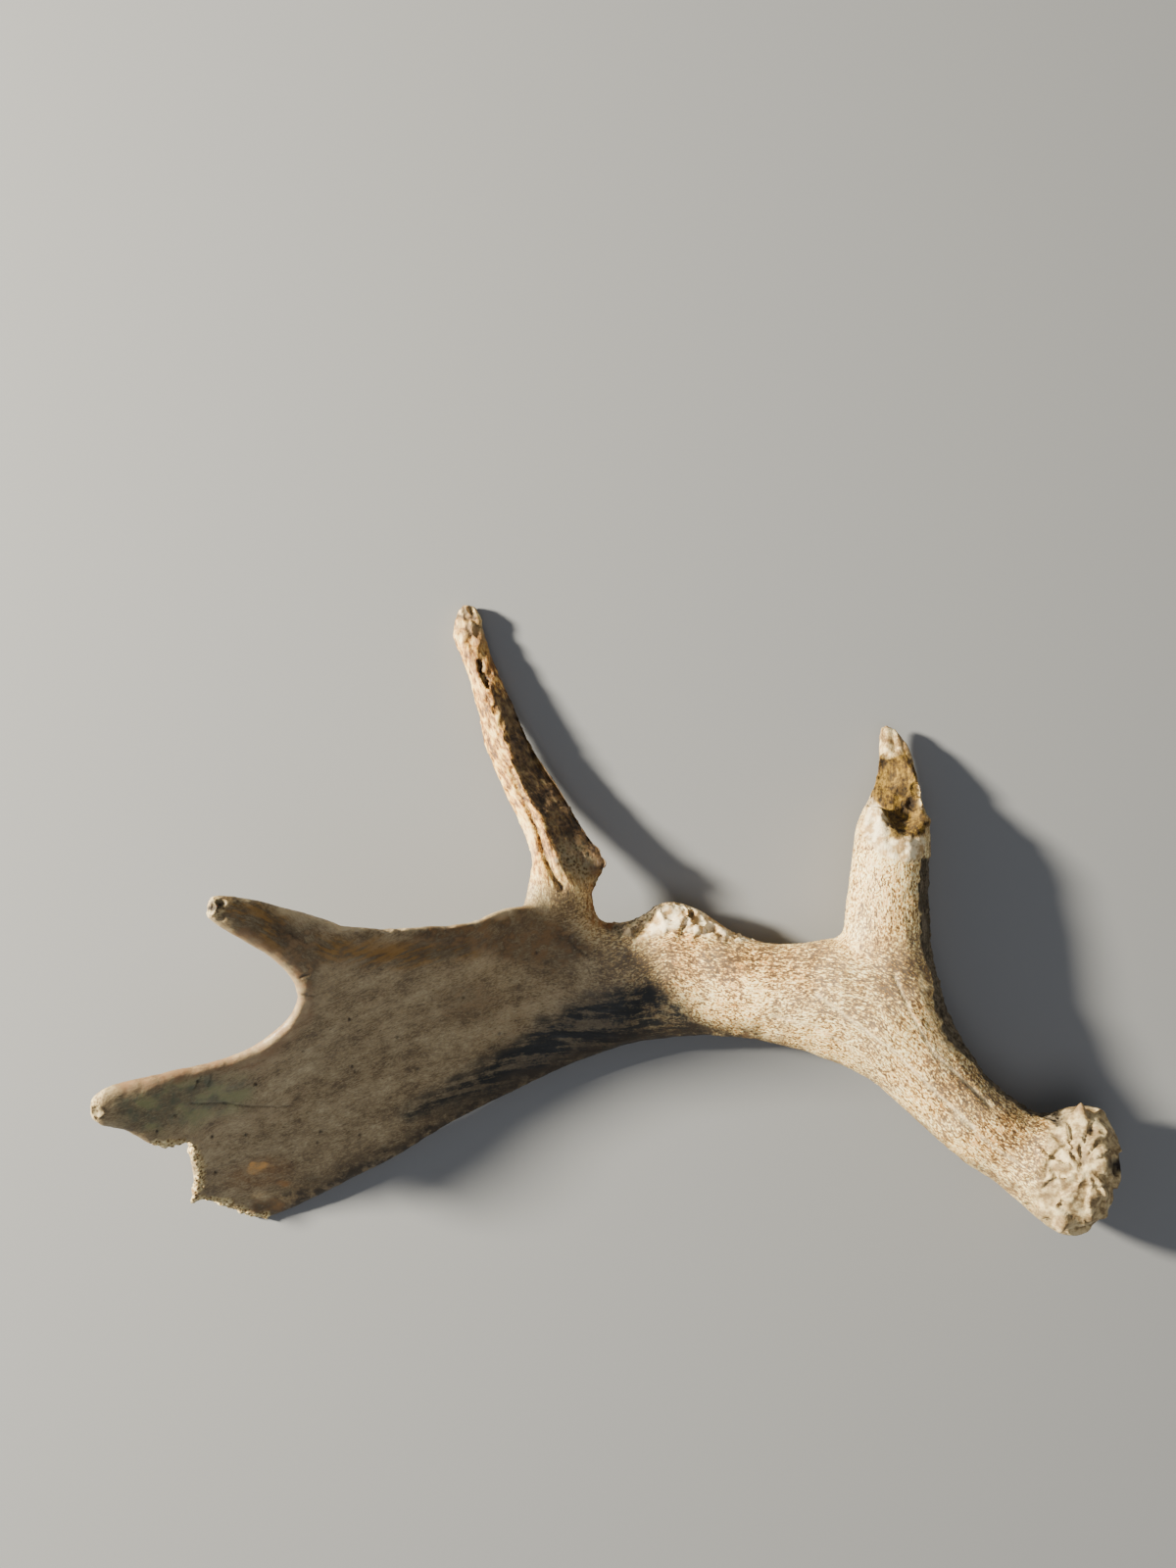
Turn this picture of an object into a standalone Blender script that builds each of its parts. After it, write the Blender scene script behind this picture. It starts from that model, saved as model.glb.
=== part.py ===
"""Moose antler: a shed left antler lying on its palm corner, tall tine tip and burr.

The antler is lofted branch by branch through pairs of edge points, fused into one body, softened
where the branches meet and then divided at its main forks. Metres, +Z up, lying on z = 0.
"""

import math

import bmesh
import bpy
from mathutils import Matrix, Vector

MM = 0.001
RING_POINTS = 20        # points round each lofted section
STEPS_PER_SPAN = 3      # smooth sections interpolated between two that are given
SKIN_VOXEL = 0.0022     # grid of the fused skin
SKIN_TRIANGLES = 7400   # triangles the fused skin is reduced to
FORK_GAP = 0.0003       # gap left between two nodes at a fork
REST_TRIM = 0.0007      # worn off under the three places it lies on

# Each section: one edge (x, y, z), the opposite edge (x, y, z), thickness, dish. Millimetres.
# The dish is how far the middle of the section sags below the line between its edges.
MAIN_SECTIONS = [
    # burr
    ((289, -192, 35), (280, -236, 34), 42, 0),
    ((278, -177, 35), (264, -246, 34), 66, 0),
    ((264, -176, 35), (250, -241, 34), 67, 0),
    # beam
    ((246, -179, 36), (223, -218, 34), 46, 0),
    ((229, -168, 36), (206, -207, 34), 43, 0),
    ((214, -154, 36), (187, -191, 34), 43, 0),
    ((197, -124, 36), (159, -165, 34), 45, 0),
    ((189, -101, 36), (143, -156, 34), 47, 0),
    ((167, -84, 34), (127, -149, 32), 47, 0),
    ((134, -84, 30), (107, -143, 30), 45, 0),
    ((105, -88, 27), (89, -140, 27), 42, 0),
    ((82, -82, 23), (73, -139, 24), 38, 0),
    ((61, -69, 22), (61, -139, 22), 33, 0),
    ((42, -64, 22), (49, -140, 20), 30, 1),
    # neck
    ((27, -74, 24), (37, -142, 18), 27, 2),
    ((12, -76, 27), (24, -144, 15), 25, 3),
    ((-4, -72, 38), (7, -150, 13), 21, 5),
    # palm
    ((-21, -66, 50), (-14, -158, 12), 17, 7),
    ((-42, -65, 66), (-38, -170, 11), 14, 9),
    ((-61, -72, 84), (-60, -181, 10), 12, 10),
    ((-86, -73, 101), (-82, -193, 10), 12, 11),
    ((-107, -73, 116), (-106, -208, 9), 12, 12),
    ((-127, -74, 126), (-131, -221, 7), 12, 12),
    ((-147, -104, 106), (-154, -233, 5), 12, 10),
    ((-153, -119, 96), (-172, -241, 2), 12, 8),
    # lower lobe
    ((-167, -132, 92), (-187, -245, 1), 12, 7),
    ((-180, -139, 93), (-200, -237, 8), 11, 6),
    ((-192, -143, 95), (-214, -229, 21), 10, 4),
    ((-199, -145, 97), (-214, -209, 44), 10, 3),
    ((-208, -146, 99), (-213, -191, 66), 10, 2),
    ((-221, -149, 103), (-226, -192, 76), 10, 1),
    ((-237, -152, 106), (-241, -180, 90), 9, 0),
    ((-249, -156, 108), (-252, -177, 98), 9, 0),
    ((-254, -162, 109), (-256, -170, 106), 7, 0),
]
TALL_TINE_SECTIONS = [
    ((-42, -90, 50), (14, -92, 24), 12, 5),
    ((-37, -74, 52), (7, -77, 29), 16, 2),
    ((-31, -50, 46), (3, -59, 32), 18, 0),
    ((-31, -38, 40), (9, -43, 30), 18, 0),
    ((-37, -22, 32), (-3, -25, 26), 18, 0),
    ((-47, -4, 24), (-15, -3, 21), 17, 0),
    ((-57, 19, 20), (-30, 19, 18), 16, 0),
    ((-62, 41, 16), (-40, 41, 15), 15, 0),
    ((-68, 63, 12), (-50, 63, 12), 14, 0),
    ((-75, 78, 9), (-55, 77, 9), 14, 0),
    ((-75, 92, 7), (-59, 91, 7), 13, 0),
    ((-71, 101, 7), (-63, 100, 7), 10, 0),
]
BROW_TINE_SECTIONS = [
    ((128, -117, 33), (193, -117, 35), 41, 0),
    ((138, -86, 33), (188, -86, 34), 42, 0),
    ((142, -60, 32), (187, -60, 32), 41, 0),
    ((145, -38, 29), (188, -39, 29), 39, 0),
    ((147, -23, 26), (188, -23, 26), 36, 0),
    ((154, -9, 23), (184, -8, 23), 28, 0),
    ((160, 7, 18), (182, 7, 18), 21, 0),
    ((161, 22, 14), (178, 22, 14), 15, 0),
    ((162, 34, 12), (170, 34, 12), 9, 0),
]
END_TINE_SECTIONS = [
    ((-112, -77, 113), (-138, -114, 95), 8, 4),
    ((-122, -72, 124), (-149, -110, 103), 12, 2),
    ((-136, -66, 132), (-151, -100, 110), 13, 1),
    ((-151, -61, 140), (-160, -88, 124), 13, 0),
    ((-163, -57, 147), (-171, -79, 137), 13, 0),
    ((-174, -55, 152), (-179, -73, 146), 12, 0),
    ((-183, -55, 156), (-186, -67, 152), 11, 0),
    ((-188, -58, 158), (-189, -63, 157), 8, 0),
]

# Knobs round the burr: angle from its lower edge towards the top, distance of the knob's centre
# from the burr's axis, radius. Degrees and millimetres.
BURR_CENTRE = (270, -211, 35)
BURR_LOWER_EDGE = (-0.20, -0.98, 0.0)
BURR_KNOBS = [
    (-8, 30.0, 7.0), (24, 29.0, 8.0), (52, 30.0, 6.5), (80, 29.5, 7.5), (112, 29.0, 8.0),
    (140, 30.5, 6.5), (170, 30.5, 7.0), (198, 29.5, 7.5), (226, 28.0, 6.5), (318, 28.0, 6.5),
]

# Broken top of the brow tine: a point on the sloping break and its normal, then the trough left
# below it: centre, semi-axes, tilt about X in degrees. Millimetres.
BREAK = ((170, -1, 30), (0.10, 0.50, 0.86))
HOLLOW = ((172.5, -5, 41), (14, 24, 16), -27)

# Forks: a point on the joint, the way out along the branch, and half the width and half the
# length of the block that takes the branch. Millimetres.
FORKS = {
    "tall_tine": ((-14, -57, 38), (-0.30, 0.95, -0.10), 60, 110),
    "brow_tine": ((166, -78, 34), (0.0, 1.0, 0.0), 60, 90),
    "end_tine": ((-136, -90, 118), (-0.80, 0.42, 0.42), 45, 60),
    "palm": ((14, -108, 20), (-1.0, 0.10, 0.0), 200, 200),
}

# base colour, roughness
FINISHES = {
    "beam": ((0.62, 0.50, 0.36), 0.62),
    "brow_tine": ((0.64, 0.52, 0.37), 0.66),
    "palm": ((0.44, 0.34, 0.23), 0.55),
    "tall_tine": ((0.55, 0.43, 0.29), 0.64),
    "end_tine": ((0.38, 0.29, 0.18), 0.58),
}


def clear_scene():
    for obj in list(bpy.data.objects):
        bpy.data.objects.remove(obj, do_unlink=True)


def new_collection(name):
    collection = bpy.data.collections.new(name)
    bpy.context.scene.collection.children.link(collection)
    return collection


def add_object(name, mesh, collection):
    obj = bpy.data.objects.new(name, mesh)
    collection.objects.link(obj)
    return obj


def spline(p0, p1, p2, p3, t):
    """Catmull-Rom value between p1 and p2, for numbers and vectors alike."""
    return 0.5 * (
        2 * p1 + (p2 - p0) * t + (2 * p0 - 5 * p1 + 4 * p2 - p3) * t**2
        + (3 * p1 - p0 - 3 * p2 + p3) * t**3
    )


def smooth_sections(rows):
    """Sections along a branch with extra ones interpolated between those given, in metres."""
    given = [(Vector(a) * MM, Vector(b) * MM, t * MM, d * MM) for a, b, t, d in rows]
    padded = [given[0]] + given + [given[-1]]
    sections = []
    for i in range(len(given) - 1):
        span = padded[i:i + 4]
        for step in range(STEPS_PER_SPAN):
            t = step / STEPS_PER_SPAN
            sections.append(tuple(spline(*(row[k] for row in span), t) for k in range(4)))
    sections.append(given[-1])
    return sections


def ring(section, along):
    """Points round one section: a rounded plate that is full when thin and elliptical when thick."""
    a, b, thickness, dish = section
    middle = (a + b) / 2
    half = (a - b) / 2
    up = half.cross(along).normalized()
    if up.z < 0:
        up = -up
    fullness = 2.0 + 1.2 * max(0.0, 1.0 - thickness / half.length)
    points = []
    for i in range(RING_POINTS):
        angle = 2 * math.pi * i / RING_POINTS
        c, s = math.cos(angle), math.sin(angle)
        across = math.copysign(abs(c) ** (2 / fullness), c)
        rise = math.copysign(abs(s) ** (2 / fullness), s) * thickness / 2
        sag = dish * (1 - across**2)
        points.append(middle + half * across + up * (rise - sag))
    return points


def loft(name, rows, collection):
    """A closed solid skinned through the sections of one branch."""
    sections = smooth_sections(rows)
    middles = [(a + b) / 2 for a, b, _, _ in sections]
    bm = bmesh.new()
    rings = []
    for i, section in enumerate(sections):
        along = middles[min(i + 1, len(middles) - 1)] - middles[max(i - 1, 0)]
        rings.append([bm.verts.new(p) for p in ring(section, along)])
    for low, high in zip(rings, rings[1:]):
        for i in range(RING_POINTS):
            j = (i + 1) % RING_POINTS
            bm.faces.new((low[i], low[j], high[j], high[i]))
    bm.faces.new(rings[0][::-1])
    bm.faces.new(rings[-1])
    bmesh.ops.recalc_face_normals(bm, faces=bm.faces)
    mesh = bpy.data.meshes.new(name)
    bm.to_mesh(mesh)
    bm.free()
    return add_object(name, mesh, collection)


def burr_knob(number, angle, reach, radius, collection):
    """One rounded knob on the burr's rim."""
    turn = math.radians(angle)
    direction = Vector(BURR_LOWER_EDGE) * math.cos(turn) + Vector((0, 0, 1)) * math.sin(turn)
    bm = bmesh.new()
    bmesh.ops.create_icosphere(bm, subdivisions=2, radius=radius * MM)
    mesh = bpy.data.meshes.new(f"burr_knob_{number}")
    bm.to_mesh(mesh)
    bm.free()
    knob = add_object(mesh.name, mesh, collection)
    knob.location = (Vector(BURR_CENTRE) + direction * reach) * MM
    return knob


def hide_cutter(obj):
    obj.hide_render = True
    obj.display_type = "WIRE"


def block(name, centre, outward, size, collection):
    """A box whose +Z face looks along outward."""
    bm = bmesh.new()
    bmesh.ops.create_cube(bm, size=1.0)
    turn = Vector(outward).to_track_quat("Z", "Y").to_matrix()
    for vert in bm.verts:
        scaled = Vector((vert.co.x * size[0], vert.co.y * size[1], vert.co.z * size[2]))
        vert.co = turn @ scaled + Vector(centre)
    mesh = bpy.data.meshes.new(name)
    bm.to_mesh(mesh)
    bm.free()
    cutter = add_object(name, mesh, collection)
    hide_cutter(cutter)
    return cutter


def break_cutter(collection):
    point, normal = BREAK
    length = 0.06
    centre = Vector(point) * MM + Vector(normal).normalized() * length / 2
    return block("break", centre, normal, (0.1, 0.1, length), collection)


def hollow_cutter(collection):
    centre, radii, tilt = HOLLOW
    bm = bmesh.new()
    bmesh.ops.create_uvsphere(bm, u_segments=24, v_segments=14, radius=1.0)
    mesh = bpy.data.meshes.new("hollow")
    bm.to_mesh(mesh)
    bm.free()
    cutter = add_object("hollow", mesh, collection)
    cutter.location = Vector(centre) * MM
    cutter.scale = Vector(radii) * MM
    cutter.rotation_euler = (math.radians(tilt), 0, 0)
    hide_cutter(cutter)
    return cutter


def boolean(obj, other, operation):
    modifier = obj.modifiers.new(f"{operation.lower()} {other.name}", "BOOLEAN")
    modifier.object = other
    modifier.operation = operation
    modifier.solver = "EXACT"
    return modifier


def evaluated_mesh(obj):
    bpy.context.view_layer.update()
    graph = bpy.context.evaluated_depsgraph_get()
    return bpy.data.meshes.new_from_object(obj.evaluated_get(graph))


def settle_modifiers(obj):
    """Turn what the modifiers make into the object's own mesh."""
    mesh = evaluated_mesh(obj)
    obj.modifiers.clear()
    obj.data = mesh


def fused_skin(cutters):
    """All branches as one softened body, lying on z = 0 and centred over the origin."""
    trunk = loft("antler", MAIN_SECTIONS, cutters)
    branches = [
        loft("tall_tine_loft", TALL_TINE_SECTIONS, cutters),
        loft("brow_tine_loft", BROW_TINE_SECTIONS, cutters),
        loft("end_tine_loft", END_TINE_SECTIONS, cutters),
    ]
    knobs = [burr_knob(i, *knob, cutters) for i, knob in enumerate(BURR_KNOBS, 1)]
    for branch in branches + knobs:
        hide_cutter(branch)
        boolean(trunk, branch, "UNION")
    remesh = trunk.modifiers.new("skin", "REMESH")
    remesh.mode = "VOXEL"
    remesh.voxel_size = SKIN_VOXEL
    soften = trunk.modifiers.new("soften", "SMOOTH")
    soften.factor = 0.5
    soften.iterations = 5
    settle_modifiers(trunk)
    triangles = sum(len(face.vertices) - 2 for face in trunk.data.polygons)
    thin = trunk.modifiers.new("thin", "DECIMATE")
    thin.ratio = SKIN_TRIANGLES / triangles
    thin.use_collapse_triangulate = True
    boolean(trunk, break_cutter(cutters), "DIFFERENCE")
    boolean(trunk, hollow_cutter(cutters), "DIFFERENCE")
    settle_modifiers(trunk)

    vertices = trunk.data.vertices
    low = [min(vert.co[k] for vert in vertices) for k in range(3)]
    high = [max(vert.co[k] for vert in vertices) for k in range(3)]
    shift = Vector((-(low[0] + high[0]) / 2, -(low[1] + high[1]) / 2, -low[2] - REST_TRIM))
    trunk.data.transform(Matrix.Translation(shift))
    wear = block("rest_wear", (0, 0, -0.05), (0, 0, 1), (1.0, 1.0, 0.1), cutters)
    boolean(trunk, wear, "DIFFERENCE")
    settle_modifiers(trunk)
    return trunk, shift


def material(name):
    colour, roughness = FINISHES[name]
    made = bpy.data.materials.new(name)
    made.use_nodes = True
    shader = made.node_tree.nodes["Principled BSDF"]
    shader.inputs["Base Color"].default_value = (*colour, 1.0)
    shader.inputs["Roughness"].default_value = roughness
    shader.inputs["Metallic"].default_value = 0.0
    return made


def fork_blocks(name, shift, collection):
    """The block that takes a branch, and the slightly longer one that clears it from the rest."""
    point, outward, half_width, half_length = FORKS[name]
    outward = Vector(outward).normalized()
    start = Vector(point) * MM + shift
    made = []
    for kind, gap in (("take", 0.0), ("clear", FORK_GAP)):
        length = 2 * half_length * MM + gap
        centre = start + outward * (length / 2 - gap)
        size = (2 * half_width * MM + 2 * gap, 2 * half_width * MM + 2 * gap, length)
        made.append(block(f"{name}_{kind}", centre, outward, size, collection))
    return made


def finish(obj):
    obj.data.materials.clear()
    obj.data.materials.append(material(obj.name))
    obj.data.shade_smooth()
    obj.data.set_sharp_from_angle(angle=math.radians(50))


def main():
    clear_scene()
    parts = new_collection("moose_antler")
    cutters = new_collection("cutters")
    trunk, shift = fused_skin(cutters)
    for name in FORKS:
        take, clear = fork_blocks(name, shift, cutters)
        branch = add_object(name, trunk.data.copy(), parts)
        boolean(branch, take, "INTERSECT")
        settle_modifiers(branch)
        finish(branch)
        boolean(trunk, clear, "DIFFERENCE")
        settle_modifiers(trunk)
    beam = add_object("beam", trunk.data.copy(), parts)
    bpy.data.objects.remove(trunk, do_unlink=True)
    finish(beam)


main()
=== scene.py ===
"""Moose antler: fine skin, bone materials, camera and light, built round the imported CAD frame."""
import math

import bmesh
import bpy
import numpy as np
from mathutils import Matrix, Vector


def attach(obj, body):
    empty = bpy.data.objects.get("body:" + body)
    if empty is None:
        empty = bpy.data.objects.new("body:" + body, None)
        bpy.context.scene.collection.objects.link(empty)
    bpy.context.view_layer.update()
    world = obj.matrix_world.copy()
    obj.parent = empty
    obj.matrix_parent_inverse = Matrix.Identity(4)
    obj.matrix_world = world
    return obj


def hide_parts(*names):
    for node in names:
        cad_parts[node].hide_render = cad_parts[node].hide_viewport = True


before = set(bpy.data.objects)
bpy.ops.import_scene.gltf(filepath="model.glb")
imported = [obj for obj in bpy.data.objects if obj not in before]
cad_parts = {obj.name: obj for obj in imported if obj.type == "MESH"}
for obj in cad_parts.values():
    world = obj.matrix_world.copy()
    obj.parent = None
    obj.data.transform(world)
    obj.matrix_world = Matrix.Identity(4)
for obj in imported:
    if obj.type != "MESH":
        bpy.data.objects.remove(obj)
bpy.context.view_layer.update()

MM = 0.001
# The point under the camera, in millimetres in the frame; the layout below is measured from it.
LAYOUT_ORIGIN = np.array((-16.0, 73.1, -1.0))
EYE_HEIGHT = 1200.0     # camera height over the floor, mm
FRAME_HEIGHT = 880.0    # height of the floor that the picture takes in, mm
FUSE_VOXEL = 0.0015     # first remesh, which joins the solids, m
SKIN_VOXEL = 0.0011     # second remesh, which gives the fine skin, m
SWELL = 0.5 * MM        # closes the gaps at the forks while the solids are joined
CUT_BAND = 4 * MM       # how near a fork's plane a face lies to be looked at for the cut
FLOOR_HALF = 3.0        # half the floor's side, m

NODES = ["beam", "brow_tine", "palm", "tall_tine", "end_tine"]

# Forks, as in the CAD: point on the joint and way out along the branch (layout mm), reach.
FORKS = {
    "tall_tine": ((-14, -57, 38), (-0.30, 0.95, -0.10), 60, 220),
    "brow_tine": ((166, -78, 34), (0.0, 1.0, 0.0), 60, 180),
    "end_tine": ((-136, -90, 118), (-0.80, 0.42, 0.42), 45, 120),
    "palm": ((14, -108, 20), (-1.0, 0.10, 0.0), 200, 400),
}

# Guide sections that the grain follows: edge, opposite edge (layout mm), thickness.
MAIN_GUIDE = [
    ((287, -192, 36), (278, -235, 35), 42), ((264, -178, 36), (250, -239, 35), 60),
    ((229, -168, 36), (206, -207, 34), 43), ((197, -124, 36), (159, -165, 34), 45),
    ((175, -90, 36), (135, -152, 34), 47), ((134, -84, 30), (107, -143, 30), 45),
    ((82, -82, 23), (73, -139, 24), 38), ((42, -66, 20), (49, -140, 19), 31),
    ((12, -76, 27), (24, -144, 15), 25), ((-21, -66, 50), (-14, -158, 12), 17),
    ((-61, -72, 84), (-60, -181, 10), 12), ((-107, -76, 114), (-106, -208, 9), 12),
    ((-137, -88, 122), (-143, -226, 6), 12), ((-175, -103, 126), (-182, -240, 4), 12),
    ((-215, -118, 130), (-222, -250, 2), 12), ((-262, -135, 134), (-266, -260, 0), 12),
]
BRANCH_GUIDES = {
    "tall_tine": [
        ((-34, -90, 46), (12, -92, 26), 14), ((-31, -50, 46), (3, -59, 32), 18),
        ((-37, -22, 32), (-3, -25, 26), 18), ((-57, 19, 20), (-30, 19, 18), 16),
        ((-68, 63, 12), (-50, 63, 12), 14), ((-75, 105, 7), (-60, 105, 7), 13),
    ],
    "brow_tine": [
        ((140, -117, 35), (192, -117, 35), 42), ((143, -56, 32), (187, -56, 32), 41),
        ((147, -23, 26), (188, -23, 26), 36), ((158, 5, 18), (183, 5, 18), 24),
        ((160, 38, 12), (172, 38, 12), 12),
    ],
    "end_tine": [
        ((-110, -72, 112), (-136, -118, 92), 12), ((-136, -66, 132), (-151, -100, 110), 13),
        ((-163, -57, 147), (-171, -79, 137), 13), ((-190, -55, 160), (-194, -68, 155), 10),
    ],
}


# ---- small numeric tools

def smooth(low, high, x):
    t = np.clip((x - low) / (high - low), 0.0, 1.0)
    return t * t * (3 - 2 * t)


def fall(low, high, x):
    return 1 - smooth(low, high, x)


def lattice(i, j, k, seed):
    """Repeatable value in 0..1 for each whole-number lattice point."""
    h = (i * 73856093) ^ (j * 19349663) ^ (k * 83492791) ^ (seed * 26544357)
    h = (h ^ (h >> 13)) & 0x7FFFFFFF
    h = (h * 1274126177) & 0x7FFFFFFFFFFF
    h = (h ^ (h >> 15)) & 0xFFFFFF
    return h / float(0xFFFFFF)


def noise(p, seed=0):
    """Smooth value noise in -1..1 at points p, one lattice step to a unit."""
    base = np.floor(p).astype(np.int64)
    f = p - base
    f = f * f * f * (f * (f * 6 - 15) + 10)
    total = np.zeros(len(p))
    for dx in (0, 1):
        wx = f[:, 0] if dx else 1 - f[:, 0]
        for dy in (0, 1):
            wy = f[:, 1] if dy else 1 - f[:, 1]
            for dz in (0, 1):
                wz = f[:, 2] if dz else 1 - f[:, 2]
                corner = base + np.array((dx, dy, dz))
                total += wx * wy * wz * lattice(*corner.T, seed)
    return total * 2 - 1


def rough(p, seed=0, octaves=3, gain=0.5):
    total, size = np.zeros(len(p)), 1.0
    for octave in range(octaves):
        total += size * noise(p * 2.0**octave, seed + 17 * octave)
        size *= gain
    return total


def cells(p, seed=0):
    """Distance to the nearest scattered point, the way to it, and that point's own value."""
    base = np.floor(p).astype(np.int64)
    best = np.full(len(p), 9.0)
    way = np.zeros_like(p)
    own = np.zeros(len(p))
    for dx in (-1, 0, 1):
        for dy in (-1, 0, 1):
            for dz in (-1, 0, 1):
                cell = base + np.array((dx, dy, dz))
                point = cell + np.stack([lattice(*cell.T, seed + k) for k in (1, 2, 3)], axis=1)
                gap = p - point
                d = np.linalg.norm(gap, axis=1)
                near = d < best
                best[near] = d[near]
                way[near] = gap[near]
                own[near] = lattice(*cell.T, seed + 4)[near]
    return best, way, own


def facets(p, seed, tilt):
    """Broken-looking relief: every cell is its own tilted flat."""
    _, way, own = cells(p, seed)
    turn = own * 2 * math.pi
    lean = np.stack([np.cos(turn), np.sin(turn), np.cos(turn * 3.7)], axis=1)
    return tilt * np.einsum("ij,ij->i", way, lean) + 0.35 * tilt * (own - 0.5)


def stretches(q, points):
    """Direction of each stretch of an open line, and the way from it to each point of q."""
    for a, b in zip(points, points[1:]):
        a, b = np.array(a, float), np.array(b, float)
        d = b - a
        t = np.clip(((q - a) @ d) / (d @ d), 0, 1)
        yield d, q - (a + t[:, None] * d)


def from_line(q, points):
    """Distance of each point of q to an open line."""
    best = np.full(len(q), 1e9)
    for _, gap in stretches(q, points):
        best = np.minimum(best, np.linalg.norm(gap, axis=1))
    return best


def signed_side(q, points):
    """Distance from an open line, positive on the left as one goes along it."""
    best, sign = np.full(len(q), 1e9), np.ones(len(q))
    for d, gap in stretches(q, points):
        r = np.linalg.norm(gap, axis=1)
        side = np.sign(d[0] * gap[:, 1] - d[1] * gap[:, 0])
        near = r < best
        best[near], sign[near] = r[near], side[near]
    return best * sign


def from_point(q, x, y):
    return np.hypot(q[:, 0] - x, q[:, 1] - y)


def spot(q, centre, radii, turn=0.0):
    """1 at the centre of an oval, falling to 0 past its rim."""
    c, s = math.cos(math.radians(turn)), math.sin(math.radians(turn))
    d = q - np.array(centre, float)
    x = (d[:, 0] * c + d[:, 1] * s) / radii[0]
    y = (-d[:, 0] * s + d[:, 1] * c) / radii[1]
    return fall(0.45, 1.15, np.hypot(x, y))


def area(q, outline, soft=2.0):
    """1 inside a closed outline, 0 outside, with a soft border."""
    points = np.array(outline, float)
    inside = np.zeros(len(q), bool)
    for a, b in zip(points, np.roll(points, -1, axis=0)):
        crosses = (a[1] > q[:, 1]) != (b[1] > q[:, 1])
        with np.errstate(divide="ignore", invalid="ignore"):
            x = a[0] + (q[:, 1] - a[1]) * (b[0] - a[0]) / (b[1] - a[1])
        inside ^= crosses & (q[:, 0] < x)
    gap = from_line(q, list(outline) + [outline[0]])
    return smooth(-soft, soft, np.where(inside, gap, -gap))


def straightener(guide):
    """Field that straightens a branch: along it, across it and through it, in millimetres."""
    anchors, values = [], []
    along, last = 0.0, None
    rows = [(np.array(a, float), np.array(b, float), t) for a, b, t in guide]
    for i, (a, b, thick) in enumerate(rows):
        middle, half = (a + b) / 2, (a - b) / 2
        if last is not None:
            along += np.linalg.norm(middle - last)
        last = middle
        ahead = rows[min(i + 1, len(rows) - 1)]
        behind = rows[max(i - 1, 0)]
        way = (ahead[0] + ahead[1]) / 2 - (behind[0] + behind[1]) / 2
        up = np.cross(half, way)
        up /= np.linalg.norm(up)
        if up[2] < 0:
            up = -up
        width = np.linalg.norm(half)
        for place, value in ((middle, (along, 0, 0)), (a, (along, width, 0)), (b, (along, -width, 0)),
                             (middle + up * thick / 2, (along, 0, thick / 2)),
                             (middle - up * thick / 2, (along, 0, -thick / 2))):
            anchors.append(place)
            values.append(value)
    anchors, values = np.array(anchors), np.array(values, float)
    count = len(anchors)
    system = np.zeros((count + 4, count + 4))
    system[:count, :count] = np.linalg.norm(anchors[:, None] - anchors[None], axis=2)
    system[:count, :count] += np.eye(count) * 4.0
    system[:count, count] = system[count, :count] = 1
    system[:count, count + 1:] = anchors
    system[count + 1:, :count] = anchors.T
    weights = np.linalg.lstsq(system, np.vstack([values, np.zeros((4, 3))]), rcond=None)[0]

    def field(p):
        out = np.empty_like(p)
        for start in range(0, len(p), 20000):
            part = p[start:start + 20000]
            d = np.linalg.norm(part[:, None] - anchors[None], axis=2)
            out[start:start + 20000] = d @ weights[:count] + weights[count] + part @ weights[count + 1:]
        return out

    return field


# ---- camera, floor and light

def link(name, data):
    obj = bpy.data.objects.new(name, data)
    bpy.context.scene.collection.objects.link(obj)
    return obj


def add_camera():
    data = bpy.data.cameras.new("camera")
    data.sensor_width = 36.0
    data.lens = 36.0 * EYE_HEIGHT / FRAME_HEIGHT
    camera = link("camera", data)
    camera.location = (LAYOUT_ORIGIN[0] * MM, LAYOUT_ORIGIN[1] * MM, EYE_HEIGHT * MM)
    bpy.context.scene.camera = camera


def add_floor():
    bm = bmesh.new()
    bmesh.ops.create_grid(bm, x_segments=1, y_segments=1, size=FLOOR_HALF)
    mesh = bpy.data.meshes.new("floor")
    bm.to_mesh(mesh)
    bm.free()
    floor = link("floor", mesh)
    material = bpy.data.materials.new("floor")
    material.use_nodes = True
    shader = material.node_tree.nodes["Principled BSDF"]
    shader.inputs["Base Color"].default_value = (0.21, 0.215, 0.222, 1)
    shader.inputs["Roughness"].default_value = 0.75
    mesh.materials.append(material)


def add_area(name, place, target, size, power, colour):
    data = bpy.data.lights.new(name, "AREA")
    data.shape = "DISK"
    data.size = size
    data.energy = power
    data.color = colour
    light = link(name, data)
    light.location = place
    light.rotation_euler = (Vector(target) - Vector(place)).to_track_quat("-Z", "Y").to_euler()


def add_light():
    add_area("key", (-2.15, 0.52, 1.12), (0.0, -0.02, 0.03), 0.34, 345, (1.0, 0.93, 0.77))
    add_area("top", (0.2, -0.7, 2.4), (0.0, 0.0, 0.0), 1.6, 13, (0.96, 0.97, 1.0))
    world = bpy.data.worlds.new("soft")
    world.use_nodes = True
    background = world.node_tree.nodes["Background"].inputs
    background["Color"].default_value = (0.90, 0.94, 1.0, 1)
    background["Strength"].default_value = 0.24
    bpy.context.scene.world = world


# ---- fused skin

def applied(obj):
    bpy.context.view_layer.update()
    graph = bpy.context.evaluated_depsgraph_get()
    mesh = bpy.data.meshes.new_from_object(obj.evaluated_get(graph))
    obj.modifiers.clear()
    old = obj.data
    obj.data = mesh
    bpy.data.meshes.remove(old)


def remesh(obj, voxel, iterations):
    modifier = obj.modifiers.new("voxels", "REMESH")
    modifier.mode = "VOXEL"
    modifier.voxel_size = voxel
    soften = obj.modifiers.new("soften", "SMOOTH")
    soften.factor = 0.5
    soften.iterations = iterations
    applied(obj)


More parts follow.
